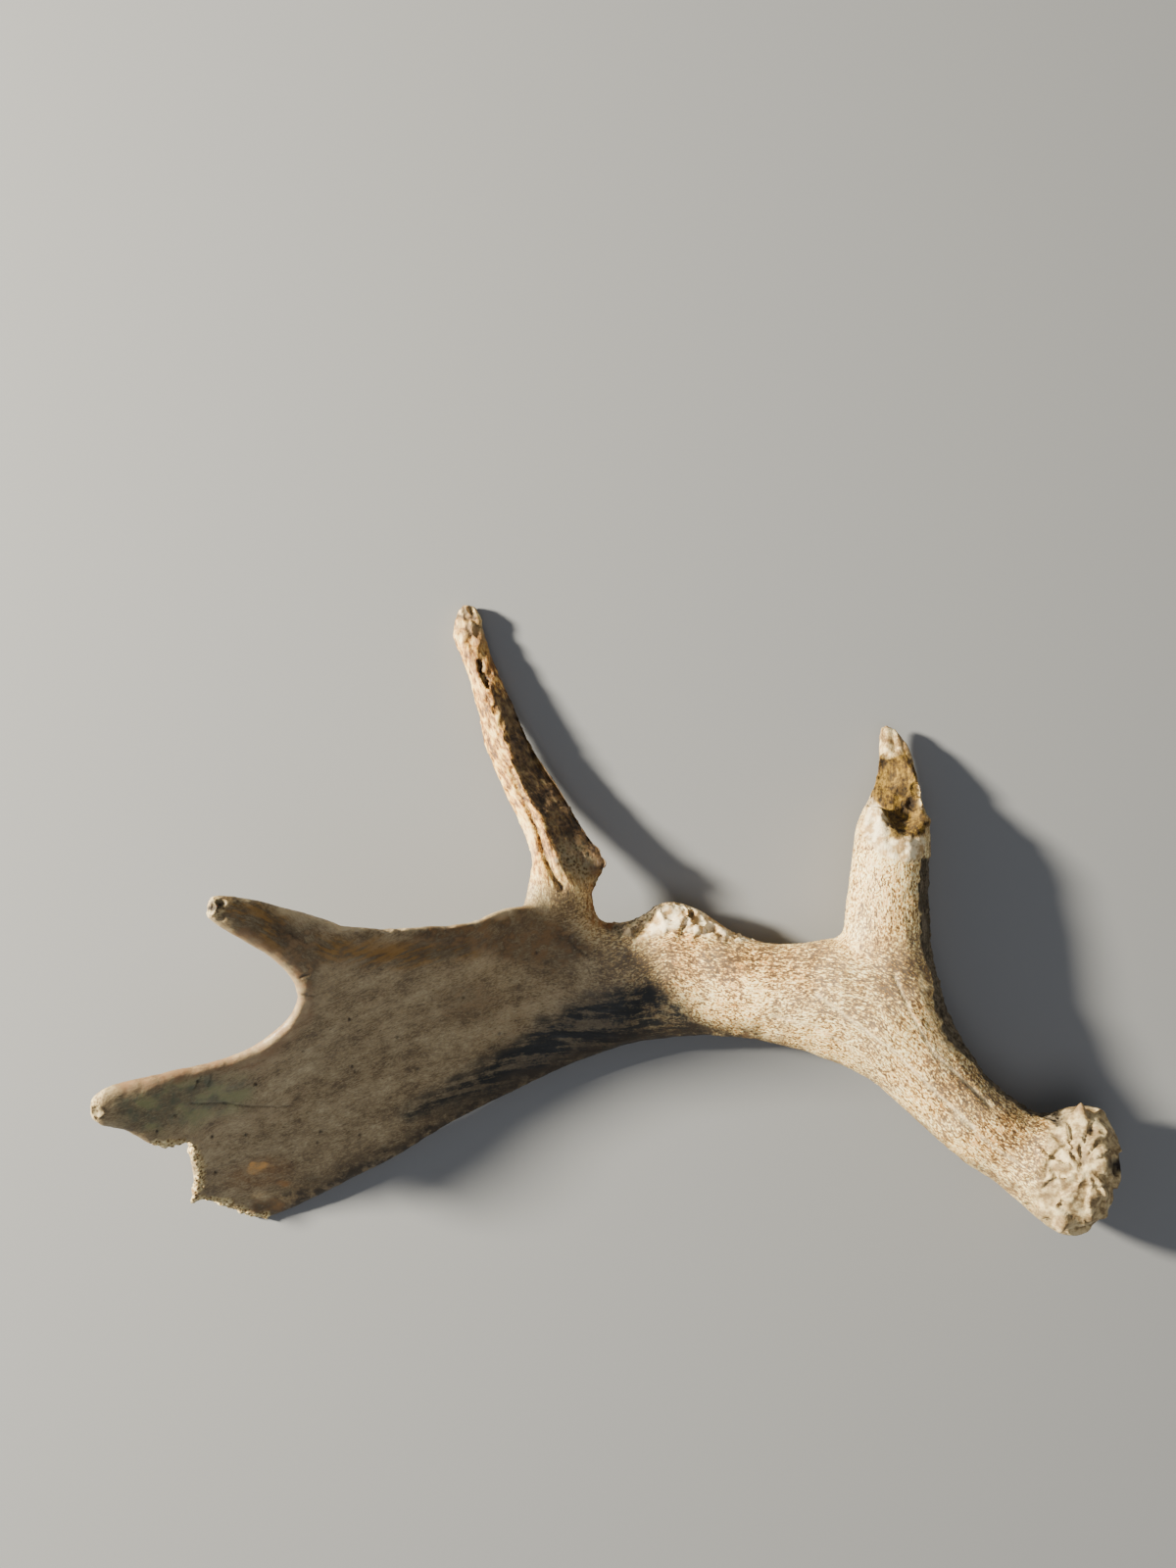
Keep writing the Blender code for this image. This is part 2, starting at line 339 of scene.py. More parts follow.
def swell(mesh, distance):
    """Move every vertex along its normal."""
    co, normals = vertex_data(mesh)
    mesh.vertices.foreach_set("co", (co + normals * distance).ravel())
    mesh.update()


def vertex_data(mesh):
    count = len(mesh.vertices)
    co, normals = np.empty(count * 3), np.empty(count * 3)
    mesh.vertices.foreach_get("co", co)
    mesh.vertex_normals.foreach_get("vector", normals)
    return co.reshape(-1, 3), normals.reshape(-1, 3)


def fused_skin():
    """One continuous copy of the CAD solids, with the thin gaps at the forks closed."""
    bm = bmesh.new()
    for name in NODES:
        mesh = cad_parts[name].data.copy()
        part = bmesh.new()
        part.from_mesh(mesh)
        bmesh.ops.remove_doubles(part, verts=part.verts, dist=1e-6)
        part.to_mesh(mesh)
        part.free()
        swell(mesh, SWELL)
        bm.from_mesh(mesh)
    mesh = bpy.data.meshes.new("skin")
    bm.to_mesh(mesh)
    bm.free()
    skin = link("skin", mesh)
    remesh(skin, FUSE_VOXEL, 6)
    swell(skin.data, -SWELL)
    remesh(skin, SKIN_VOXEL, 4)
    return skin


class Surface:
    """The skin's points in layout millimetres, with helpers that look from above."""

    def __init__(self, mesh):
        self.mesh = mesh
        self.refresh()

    def refresh(self):
        co, self.normal = vertex_data(self.mesh)
        self.p = co / MM - LAYOUT_ORIGIN
        self.flat()

    def flat(self):
        height = self.p[:, 2] + LAYOUT_ORIGIN[2]
        self.q = self.p[:, :2] / (1 - height / EYE_HEIGHT)[:, None]
        self.up = smooth(-0.15, 0.35, self.normal[:, 2])

    def store(self):
        co = (self.p + LAYOUT_ORIGIN) * MM
        self.mesh.vertices.foreach_set("co", co.ravel())
        self.mesh.update()
        self.refresh()

    def push(self, offset):
        self.p += self.normal * offset[:, None]

    def seek(self, q):
        """Surface point and normal seen from above at q."""
        d = np.linalg.norm(self.q - np.array(q, float), axis=1) - 0.02 * self.p[:, 2]
        d[self.normal[:, 2] < 0.05] += 50
        i = int(np.argmin(d))
        near = np.linalg.norm(self.p - self.p[i], axis=1) < 3.0
        n = self.normal[near].mean(axis=0)
        return self.p[i].copy(), n / np.linalg.norm(n)

    def scoop(self, q, radius, depth, lean=(0, 0, 0)):
        """Hollow bite of a ball sunk to the given depth."""
        place, n = self.seek(q)
        n = n + np.array(lean, float)
        n /= np.linalg.norm(n)
        centre = place + n * (radius - depth)
        gap = self.p - centre
        d = np.linalg.norm(gap, axis=1)
        inside = d < radius
        self.p[inside] = centre + gap[inside] * (radius / d[inside])[:, None]

    def shave(self, place, n, centre, reach):
        """Flat cut: points past the plane, within reach of the centre, are pressed onto it."""
        n = np.array(n, float)
        n /= np.linalg.norm(n)
        past = (self.p - np.array(place, float)) @ n
        near = fall(0.85 * reach, reach, np.linalg.norm(self.p - np.array(centre, float), axis=1))
        self.p -= (np.maximum(past, 0) * near)[:, None] * n


# ---- fine shape

# Lines and outlines on the surface, in layout millimetres as seen from above.
BEAM_GROOVES = [
    [(128, -118), (150, -134), (173, -151), (190, -168), (217, -193)],
    [(172, -108), (181, -128), (194, -151), (210, -166), (226, -181)],
    [(104, -130), (132, -138), (158, -156)], [(205, -185), (228, -204), (243, -214)],
]
BEAM_BREAK_EDGE = [
    (187, -34), (186, -60), (186, -80), (187, -94), (192, -106), (195, -116), (194.5, -128), (198, -133),
    (200, -140), (207, -149), (216, -156), (222, -165), (228, -171), (243, -183), (252, -187),
]
TINE_RIDGE = [
    (-56, 54), (-53, 43), (-48, 33), (-44, 18), (-41, 6), (-35, -7), (-27, -18), (-21, -34), (-13, -50),
    (-6, -60),
]
TINE_CHANNEL = [(-43, 8), (-38, -4), (-33, -15), (-29, -25), (-25, -38), (-20, -50), (-15, -58)]
TINE_SLIT = [(-61, 69), (-60.5, 65), (-58, 60), (-56.5, 55)]
TINE_TIP_CRACKS = [
    [(-70, 99), (-68, 94), (-67.5, 88), (-65, 83)], [(-65, 98), (-64, 93), (-61, 88)],
    [(-72, 94), (-68, 93.5), (-62, 93)],
]
TINE_RIM = [(7, -52), (5, -56), (2, -62), (1, -69), (5, -78), (12, -79)]
NECK_SLAB = [
    (10, -77), (24, -80), (25, -76), (31, -73), (38, -66), (43, -68), (36, -76), (28, -84), (26, -87),
    (10, -83),
]
NECK_BEVEL = [
    (27, -88), (34, -79), (41, -69), (52, -66), (60, -70), (69, -75), (83, -82), (98, -87), (97, -89),
    (85, -88), (74, -87), (66, -84.5), (59, -83.5), (53, -79), (47, -82), (39, -85),
]
NECK_CRACK = [(-6, -83), (-10, -85), (-11, -88), (-7, -92), (-2, -96), (3, -99)]
BROW_FACE = [
    (163, 17), (160, 6), (158, -2), (157, -6), (162, -10), (167, -18), (170, -31), (181, -30), (189, -27),
    (192, -21), (189, -15), (186, -9), (187, -2), (184, 9), (179, 19), (171, 15),
]
BROW_LIP = [
    (157, -6), (162, -11), (167, -19), (170, -31), (181, -31), (189, -28), (189, -40), (178, -43),
    (164, -40), (155, -28),
]
PALM_BREAK = [
    (-244, -203), (-236, -202), (-228, -202), (-221, -206), (-217, -213), (-218, -224), (-223, -234),
    (-212, -234), (-203, -234), (-198, -238), (-194, -240), (-190, -244), (-180, -243),
]
NOTCH_RIM = [
    (-262, -169), (-235, -161), (-212, -157), (-192, -153), (-178, -147), (-168, -138), (-161, -128),
    (-162, -115), (-168, -106), (-178, -98), (-192, -87),
]
LOWER_EDGE = [
    (90, -144), (60, -142), (25, -147), (-10, -159), (-57, -180), (-110, -211), (-148, -229), (-182, -243),
]
BEAM_HEM = [(88, -142), (112, -148), (138, -158), (160, -171), (184, -189), (212, -212), (240, -228)]
UPPER_EDGE = [
    (-170, -69), (-153, -74), (-140, -80), (-120, -79), (-95, -78), (-65, -75), (-45, -70), (-36, -60),
    (-32, -45), (-36, -25),
]
DARK_BAND = [
    (72, -139), (59, -130), (48, -118), (35, -108), (3, -118), (-22, -130), (-45, -146), (-67, -162),
    (-103, -184), (-101, -189), (-67, -177), (-22, -162), (10, -152), (40, -145),
]
LOBE_TIP = [(-285, -176), (-270, -170), (-273, -180), (-274, -194), (-285, -192)]
PALM_CRACKS = [
    [(-224, -179.5), (-205, -179), (-190, -181), (-168, -181)], [(-169, -84), (-164, -86), (-158, -89)],
    [(-162, -109), (-157, -107)], [(-160, -118), (-154, -119)], NECK_CRACK, [(-221, -171), (-217, -164)],
    [(-214, -170), (-211, -163)],
]
PALM_PITS = [
    (-134, -132, 1.4), (-132.5, -158.5, 1.2), (-131, -161, 0.6), (-186.7, -168.6, 1.2), (-242, -195, 1.0),
    (-211, -198, 0.9), (-192, -197, 0.7), (-209, -218, 0.8), (-107, -142, 0.6), (-120, -120, 0.5),
    (-96, -160, 0.7), (-70, -120, 0.6), (-50, -140, 0.6), (-160, -150, 0.6), (-232, -186, 0.7),
    (-219, -167, 0.8), (-150, -195, 0.8), (-152, -201, 0.6), (-128, -197, 0.6), (-29, -95, 0.8),
]
BURR_CENTRE = (278, -215)
# Edges of the overlapping blades that fan out from the burr's centre (degrees), and their relief.
BURR_FAN = [
    (-153, 3.2), (-112, 3.6), (-72, 2.4), (-48, 3.0), (-14, 3.4), (38, 2.6), (66, 1.8), (98, 2.6),
    (130, 3.0), (170, 2.8),
]
# Scoops are place, radius, depth and lean; knobs are place, radius, height and lean; cuts are a line,
# its reach to the left and to the right, and depth.
BURR_CUTS = [
    ([(263, -197), (268, -203), (273, -209), (278, -214)], 1.2, 3.5, 2.4),
    ([(276, -201), (277, -207), (278, -213)], 1.0, 3.0, 2.0),
    ([(267, -202), (260, -209), (258, -214), (262, -220), (268, -222)], 4.0, 1.2, 2.0),
    ([(257.5, -212), (256.5, -220)], 1.2, 3.0, 1.8),
    ([(247, -223), (251, -221), (257, -221)], 3.0, 1.2, 1.2),
    ([(264, -237), (270, -243), (277, -246)], 6.0, 2.0, 2.6),
    ([(256, -226), (262, -221), (270, -222), (284, -226), (292, -226)], 1.2, 4.0, 1.6),
]
BURR_BITES = [
    ((292, -190), 6, 2.2, (0.7, 0.6, 0)), ((299, -203), 6, 1.8, (1, 0.2, 0)),
    ((299, -228), 7, 2.6, (1, -0.2, 0)), ((296, -238), 5, 2.0, (1, -0.4, 0)),
    ((288, -248), 8, 4.2, (0.8, -1.2, 0)), ((277, -252), 8, 5.0, (0.2, -1.5, 0)),
    ((260, -246), 4, 2.2, (-0.2, -1, 0)), ((249, -238), 6, 2.0, (-0.6, -0.8, 0)),
    ((283, -183), 5, 2.0, (0.2, 1, 0)), ((266, -184), 6, 2.0, (-0.2, 1, 0)),
]
BURR_KNOBS = [
    ((276, -187), 4.2, 8.0, (0.2, 2.6, 0)), ((265.5, -243), 6.0, 8.5, (0.0, -2.6, 0)),
    ((256, -239), 4.5, 5.0, (-0.6, -2.0, 0)), ((288, -240), 5.0, 4.0, (1.2, -1.2, 0)),
]
BURR_HOLLOWS = [
    ((296, -214), 6.5, 5.4, (0.5, 0.1, 0.0)), ((283.5, -195), 2.4, 1.8), ((289, -195), 2.2, 1.6),
]
BEAM_CHIPS = [
    ((198, -129), 4, 2.0), ((203, -137), 6, 1.8), ((210, -146), 7, 1.6), ((214, -154), 5, 1.2),
    ((220, -160), 6, 1.0),
]
NECK_SCOOPS = [
    ((31, -81), 10, 2.4), ((37, -76), 10, 2.6), ((46, -73), 12, 2.6), ((51, -71), 8, 1.6),
    ((63, -76), 7, 2.4), ((70, -80), 6, 2.2), ((77, -80), 6, 2.2), ((83, -84), 6, 1.6), ((91, -86), 5, 1.0),
    ((58, -73), 3.4, 2.6), ((66, -81), 4, 1.4), ((74, -84), 4, 1.2),
]
NECK_CUTS = [
    ([(27, -88), (35, -79), (42, -67)], 6.0, 1.2, 1.8), ([(44, -82), (47, -75), (47, -67)], 1.0, 7.0, 0.7),
    ([(52, -82), (56, -75), (50, -66)], 1.2, 8.0, 2.0), ([(62, -84), (68, -79), (64, -70)], 1.2, 7.0, 1.6),
    ([(78, -86), (80, -81), (76, -76)], 1.0, 6.0, 0.9),
]
NECK_KNOBS = [((38, -70), 4.0, 2.6, (0, 3, 0)), ((53, -70), 4.0, 1.8, (0, 3, 0))]
TINE_KNOBS = [
    ((-62, 92), 5, 1.6, (0.8, 0.2, 0)), ((-74, 83), 4, 1.4, (-0.9, 0, 0)),
    ((5, -45), 5.0, 4.5, (5, 0.5, 0)), ((4, -37), 4.0, 2.0, (5, 1, 0)),
]
TINE_SCOOPS = [
    ((-51, 42), 5.0, 1.6), ((-48, 34), 5, 1.7), ((-45, 26), 5, 1.5), ((-38, 12), 9, 1.6),
    ((-33, 1), 9, 1.6), ((-26, -9), 8, 1.4), ((-20, -20), 9, 1.0), ((-56, 47), 6, 1.0), ((-66, 80), 8, 1.6),
    ((-71, 89), 6, 1.4), ((-62, 86), 6, 1.6), ((-58, 76), 7, 1.4), ((-72, 72), 6, 1.0), ((-66, 98), 5, 1.6),
    ((-74, 86), 4, 1.0), ((-56, 14), 9, 0.8), ((-46, -6), 11, 0.9), ((-62, 38), 9, 0.8),
    ((-38, -24), 10, 0.7), ((-55, 62), 4, 1.2),
]
BROW_SCOOPS = [
    ((168, 2), 16, 1.6), ((182, -11), 5, 3.0, (0.2, 0, 0)), ((184, -3), 5, 2.4, (0.2, 0, 0)),
    ((178, -17), 6, 2.0), ((153, -17), 8, 1.6, (-0.2, 0.2, 0)), ((160, -20), 9, 1.4),
]
BROW_CUTS = [
    ([(165, 35), (166, 28), (166, 20)], 1.2, 3.5, 1.2), ([(171, 34), (172, 27), (173, 20)], 1.2, 3.0, 1.0),
    ([(176, 30), (177, 24), (178, 19)], 1.0, 2.6, 0.9),
    ([(158, -5), (163, -11), (168, -20), (170, -31)], 1.4, 3.0, 1.2),
]
END_HOLLOWS = [((-206, -67), 2.8, 2.6), ((-211, -70), 3.0, 2.6), ((-206, -76), 2.6, 1.2)]
PALM_CHIPS = [
    ((-138, -79), 6, 2.0), ((-131, -80), 5, 1.4), ((-114, -79), 6, 1.8), ((-106, -79), 5, 1.2),
    ((-78, -77), 6, 1.2), ((-61, -75), 5, 1.0), ((-152, -74), 5, 1.0), ((-276, -184), 8, 1.6),
    ((-230, -201), 4, 2.0),
]
# Painted shade in hollows: place, reach and darkness.
HOLLOW_SHADE_SPOTS = [
    (297, -214.5, 5.5, 1.0), (283.5, -195, 1.8, 0.8), (289, -195, 1.6, 0.8), (58, -73, 2.4, 0.9),
    (-206, -67, 2.6, 1.0), (-210.5, -69, 2.8, 1.0), (-68, 93, 1.7, 0.8), (-64.7, 93, 1.3, 0.8),
    (-68, 88, 1.5, 0.6), (182, -11, 4.2, 0.9), (185, -3, 2.6, 0.7), (179, -15, 3.0, 0.7),
    (198, -129, 2.2, 0.8), (-49, 34, 2.2, 0.6), (-46, 25, 2.0, 0.6), (-51, 42, 1.6, 0.5),
    (272, -241, 4.0, 0.4), (-272.5, -182, 2.0, 0.9), (-273, -187, 1.6, 0.6), (167, 15, 1.0, 0.7),
    (-10, -30, 3.4, 0.5),
]


def groove(surface, line, width, depth):
    """Cut a rounded groove along a line on the upper side."""
    d = from_line(surface.q, line)
    surface.push(-depth * fall(0.2 * width, width, d) * surface.up)


def cut(surface, line, left, right, depth):
    """Knife-like cut: straight-sided, with its own reach on each side of the line."""
    side = signed_side(surface.q, line)
    reach = np.where(side > 0, left, right)
    surface.push(-depth * np.clip(1 - np.abs(side) / reach, 0, 1) * surface.up)


def knob(surface, place, radius, height, lean=(0, 0, 0)):
    """Rounded lump of bone pushed outward."""
    point, normal = surface.seek(place)
    way = normal + np.array(lean, float)
    way /= np.linalg.norm(way)
    share = np.exp(-1.6 * (np.linalg.norm(surface.p - point, axis=1) / radius) ** 2)
    surface.p += share[:, None] * height * way


def fan(surface):
    """Gnawed blades that overlap round the burr's centre, each one a tilted flat."""
    spoke = surface.q - np.array(BURR_CENTRE, float)
    r = np.hypot(spoke[:, 0], spoke[:, 1])
    turn = np.degrees(np.arctan2(spoke[:, 1], spoke[:, 0])) + 1.1 * (r - 10) + 7 * rough(surface.p / 9, 47, 2)
    edges = np.array([edge for edge, _ in BURR_FAN], float)
    turn = (turn - edges[0]) % 360 + edges[0]
    index = np.searchsorted(edges, turn, side="right") - 1
    ends = np.append(edges[1:], edges[0] + 360)
    t = (turn - edges[index]) / (ends[index] - edges[index])
    relief = np.array([height for _, height in BURR_FAN])[index]
    reach = smooth(1.5, 11, r) * fall(22, 30, r) * smooth(-0.1, 0.35, surface.normal[:, 2])
    surface.push((0.6 - t) * relief * reach)


def each(tool, surface, table):
    """Use one carving tool for every row of its table, then settle the surface."""
    for row in table:
        tool(surface, *row)
    surface.store()


def carve(surface):
    """Bites, facets, grooves and cracks big enough to change the outline or catch the light."""
    # burr: proud knobs and bitten rim, then gnawed blades with sharp ridges between them
    each(Surface.scoop, surface, BURR_BITES)
    each(knob, surface, BURR_KNOBS)
    fan(surface)
    surface.store()
    each(cut, surface, BURR_CUTS)
    for row in BURR_HOLLOWS:
        surface.scoop(*row)

    # beam: worn channels, and the chipped strip down its right side
    for line in BEAM_GROOVES:
        groove(surface, line, 1.3, 0.6)
    # neck: crumbled upper rim, worn to a bevel on the bump
    each(Surface.scoop, surface, BEAM_CHIPS + NECK_SCOOPS)
    for row in NECK_KNOBS:
        knob(surface, *row)
    each(cut, surface, NECK_CUTS)

    # tall tine: a ridge down its middle with the right flank cut away, bites, slit
    each(knob, surface, TINE_KNOBS)
    side = signed_side(surface.q, TINE_RIDGE)
    flank = spot(surface.q, (-28, -4), (31, 80), 24) * surface.up
    surface.p[:, 2] -= 0.55 * np.clip(side, 0, 11) * flank
    surface.p[:, 2] += 0.9 * fall(0.0, 3.5, np.abs(side)) * flank
    surface.store()
    for row in TINE_SCOOPS:
        surface.scoop(*row)
    groove(surface, TINE_CHANNEL, 2.4, 1.9)
    for line in TINE_TIP_CRACKS:
        cut(surface, line, 1.0, 2.6, 1.4)
    stray = np.stack([rough(surface.p / 2.5, 81), rough(surface.p / 2.5, 83)], 1)
    d = from_line(surface.q + 0.9 * stray, TINE_SLIT)
    surface.push(-4.6 * fall(0.5, 2.0, d) * surface.up)
    surface.store()

    # brow tine: one broken face from the left edge to the right wall, a lip and a fibrous tip
    surface.shave((170, -10, 28), (-0.30, 0.45, 0.84), (163, 1, 27), 17)
    surface.store()
    each(Surface.scoop, surface, BROW_SCOOPS)
    knob(surface, (190, -20), 4.5, 2.4, (0.6, 0, 0))
    each(cut, surface, BROW_CUTS)

    # end tine: blunt broken tip with two cavities
    tip, _ = surface.seek((-210, -69))
    surface.shave(tip + np.array((-1.0, 0, 0)), (-0.88, 0.22, 0.42), tip, 16)
    surface.store()
    for row in END_HOLLOWS:
        surface.scoop(*row)

    # palm: jutting corner of the break, chips along its upper edge, pits and cracks, a worn lobe tip
    knob(surface, (-215, -228), 5.5, 9.0, (-6, -5, 0))
    surface.store()
    each(Surface.scoop, surface, PALM_CHIPS)
    for x, y, size in PALM_PITS:
        surface.push(-1.0 * size * fall(0.4, 1.4, from_point(surface.q, x, y)) * surface.up)
    for line in PALM_CRACKS:
        groove(surface, line, 1.0, 0.4)
    surface.store()


def region_masks(surface):
    """Where each kind of surface, stain and painted shade is, 0 to 1."""
    q, p, up = surface.q, surface.p, surface.up
    w = q + 2.2 * np.stack([rough(p / 9.0, 31), rough(p / 9.0, 37)], axis=1)
    fray = q + 1.2 * np.stack([rough(p / 3.2, 33), rough(p / 3.2, 39)], axis=1)
    m = {}

    burr = smooth(250, 262, w[:, 0] - 0.25 * (w[:, 1] + 212)) * (p[:, 0] > 222)
    bevel = area(fray, NECK_BEVEL, 0.9) * smooth(0.0, 0.3, up)
    tine_tip = smooth(76, 84, w[:, 1]) * (q[:, 0] < -40)
    brow_tip = smooth(15, 20, fray[:, 1]) * (q[:, 0] > 130)
    brow_rim = smooth(-36, -30, w[:, 1]) * (q[:, 0] > 130) * (q[:, 0] < 200)
    chip = area(w, [(184, -100), (194, -108), (194, -130), (206, -148), (200, -150), (190, -128)], 2)
    lip = area(fray, BROW_LIP, 1.0) * up
    raw = burr + bevel + 0.55 * tine_tip + 0.8 * brow_tip + 0.5 * brow_rim + 0.6 * chip + lip
    m["fresh"] = np.clip(raw, 0, 1)
    m["bevel"] = np.clip(bevel + 0.12 * tine_tip + 0.15 * brow_tip + 0.9 * lip, 0, 1)
    m["burr"] = burr

    end_tip = fall(4.0, 7.0, np.linalg.norm(fray - np.array((-210, -70)), axis=1))
    broken = fall(1.5, 4.0, from_line(fray, PALM_BREAK)) * (q[:, 0] < -178) * (q[:, 0] > -250)
    rim = fall(1.8, 3.6, from_line(fray, TINE_RIM))
    slab = area(fray, NECK_SLAB, 0.8)
    patch = spot(w, (-8, -43), (11, 14), 20) * up
    lobe = area(w, LOBE_TIP, 1.5)
    strip = smooth(-0.6, 1.0, signed_side(fray, BEAM_BREAK_EDGE))
    strip = strip * fall(12, 18, np.abs(signed_side(q, BEAM_BREAK_EDGE)))
    strip = strip * (q[:, 0] > 175) * (p[:, 1] < -40) * smooth(-0.85, -0.4, surface.normal[:, 2])
    spongy = 0.5 * end_tip + broken + 0.7 * rim + slab + 0.6 * patch + 0.5 * strip + 0.5 * lobe
    m["porous"] = np.clip(spongy, 0, 1)
    m["broken"] = broken
    m["strip"] = strip
    m["slab"] = np.clip(slab + 0.55 * patch, 0, 1)
    m["rust"] = np.clip(rim + 0.8 * spot(w, (-60, 72), (8, 16), 15) + 0.6 * spot(w, (-66, 86), (8, 6))
                        + 0.7 * spot(w, (277, -183), (5, 4)) + 0.5 * spot(w, (265, -248), (6, 5))
                        + 0.5 * area(w, [(183, -14), (194, -14), (194, -28), (180, -29)], 2), 0, 1)
    m["patch"] = patch

    m["moss"] = area(fray, BROW_FACE, 1.0) * smooth(-0.1, 0.15, up)

    m["dark"] = area(w, DARK_BAND, 7.0) * smooth(-0.3, 0.3, up)
    m["olive"] = np.clip(
        0.9 * area(w, [(-153, -86), (-130, -88), (-100, -88), (-70, -86), (-62, -95), (-90, -101),
                       (-120, -102), (-150, -98)], 5)
        + 0.8 * area(w, [(-203, -62), (-168, -72), (-165, -86), (-172, -97), (-205, -80)], 4), 0, 1)
    m["umber"] = np.clip(
        0.8 * area(w, [(-176, -78), (-152, -80), (-149, -100), (-154, -116), (-163, -112), (-170, -98)], 5)
        + 0.9 * area(w, [(-101, -77), (-60, -74), (-36, -68), (-8, -80), (6, -96), (-20, -106), (-60, -94),
                         (-100, -88)], 5)
        + 0.45 * spot(w, (-67, -124), (20, 14), 0) + 0.8 * spot(w, (-180, -238), (13, 6), -15)
        + 0.85 * area(w, [(-11, -24), (-1, -22), (12, -42), (6, -57), (-7, -44)], 3)
        + 0.6 * area(w, [(-67, 96), (-60, 93), (-56, 80), (-61, 77), (-66, 86)], 2)
        + 0.7 * fall(0.8, 3.0, from_line(w, BEAM_HEM)), 0, 1)
    m["green"] = area(w, [(-266, -171), (-240, -167), (-215, -164), (-192, -168), (-188, -178), (-215, -190),
                          (-245, -196), (-262, -188)], 7)
    # orange spot on the palm's lower corner: stain with a painted glow at its middle
    m["amber"] = np.clip(spot(w, (-185, -216.5), (9, 4), 8) + 0.35 * spot(w, (-185, -219), (22, 10), 10)
                         + 0.5 * spot(w, (-170, -225), (6, 3), 20), 0, 1) * up

    # painted shade along each crack and cut: its line, the points it is measured from, its darkness and where
    # it fades
    half, most = q + 0.5 * (fray - q), q + 0.7 * (fray - q)
    lines = [(line, half, 0.55, 0.1, 0.8) for line in PALM_CRACKS]
    lines += [(TINE_SLIT, most, 1.0, 0.8, 2.2), (TINE_CHANNEL, fray, 0.65, 0.4, 1.8)]
    lines += [(line, q, 0.6, 0.2, 1.3) for line, *_ in BURR_CUTS]
    lines += [(line, fray, 0.85, 0.4, 1.5) for line in TINE_TIP_CRACKS]
    crack = np.zeros(len(q))
    for line, points, share, inner, outer in lines:
        crack = np.maximum(crack, share * fall(inner, outer, from_line(points, line)))
    # painted shade in the palm's pits and in the dark hollows
    for x, y, size in PALM_PITS:
        crack = np.maximum(crack, min(1, size) * fall(0.4, 1.4, from_point(q, x, y)))
    for x, y, r, share in HOLLOW_SHADE_SPOTS:
        crack = np.maximum(crack, share * fall(0.4 * r, 1.3 * r, from_point(fray, x, y)))
    m["crack"] = crack * smooth(0.15, 0.5, up)

    pale = np.zeros(len(q))
    for line, strength in zip(BEAM_GROOVES, (1.0, 0.8, 0.5, 0.5)):
        pale = np.maximum(pale, strength * fall(0.3, 1.2, from_line(q + 0.3 * (fray - q), line)))
    # painted highlight along the notch rim, where it faces the light
    notch_highlight = fall(2.0, 5.0, from_line(w, NOTCH_RIM))
    upper = fall(1.5, 5.0, from_line(w, UPPER_EDGE))
    notch_highlight *= smooth(-210, -180, q[:, 0])
    m["pale"] = np.clip(pale + 0.2 * notch_highlight + 0.45 * upper, 0, 1)
    m["palm"] = smooth(70, -10, w[:, 0] + 0.55 * (w[:, 1] + 108)) * fall(-75, -40, q[:, 1])
    m["tine"] = smooth(-64, -46, q[:, 1]) * (q[:, 0] < 60) * (q[:, 0] > -100)
    # right flank of the tall tine: where its painted shade goes, and its tooth marks
    m["flank"] = smooth(0.0, 2.5, signed_side(fray, TINE_RIDGE)) * m["tine"] * smooth(58, 44, q[:, 1])
    # darker toward the palm's lower edge: dark streaks and painted shade
    m["edge"] = fall(2.0, 15.0, from_line(w, LOWER_EDGE))
    m["dusk"] = np.clip(
        area(w, [(10, -96), (30, -92), (60, -90), (100, -92), (134, -94), (130, -114), (95, -110), (60, -116),
                 (25, -118)], 9)
        + 0.7 * area(w, [(205, -160), (235, -185), (254, -196), (252, -217), (232, -208), (200, -186),
                         (184, -166)], 9)
        + 0.5 * spot(w, (176, -112), (16, 22), 20), 0, 1)
    m["hem"] = fall(3.0, 9.0, from_line(w, NOTCH_RIM))
    return m


def grain_fields(surface):
    """Straightened positions along the main stem and the nearest branch, and the branch's share."""
    p = surface.p
    main = straightener(MAIN_GUIDE)(p)
    branch, share = np.zeros_like(main), np.zeros(len(p))
    for name, guide in BRANCH_GUIDES.items():
        point, outward = (np.array(v, float) for v in FORKS[name][:2])
        outward /= np.linalg.norm(outward)
        ahead = (p - point) @ outward
        axis = [((np.array(a) + np.array(b)) / 2) for a, b, _ in guide]
        own = smooth(-26, 8, ahead) * fall(30, 44, from_line(p, axis))
        field = straightener(guide)(p)
        take = own > share
        branch[take], share[take] = field[take], own[take]
    return main, branch, share


def grained(fields, stretch, seed, octaves=2):
    """Noise drawn out along the grain; stretch is its length along and across, in millimetres."""
    main, branch, share = fields
    scale = np.array((1 / stretch[0], 1 / stretch[1], 1 / stretch[1]))
    return rough(main * scale, seed, octaves) * (1 - share) + rough(branch * scale, seed + 5, octaves) * share


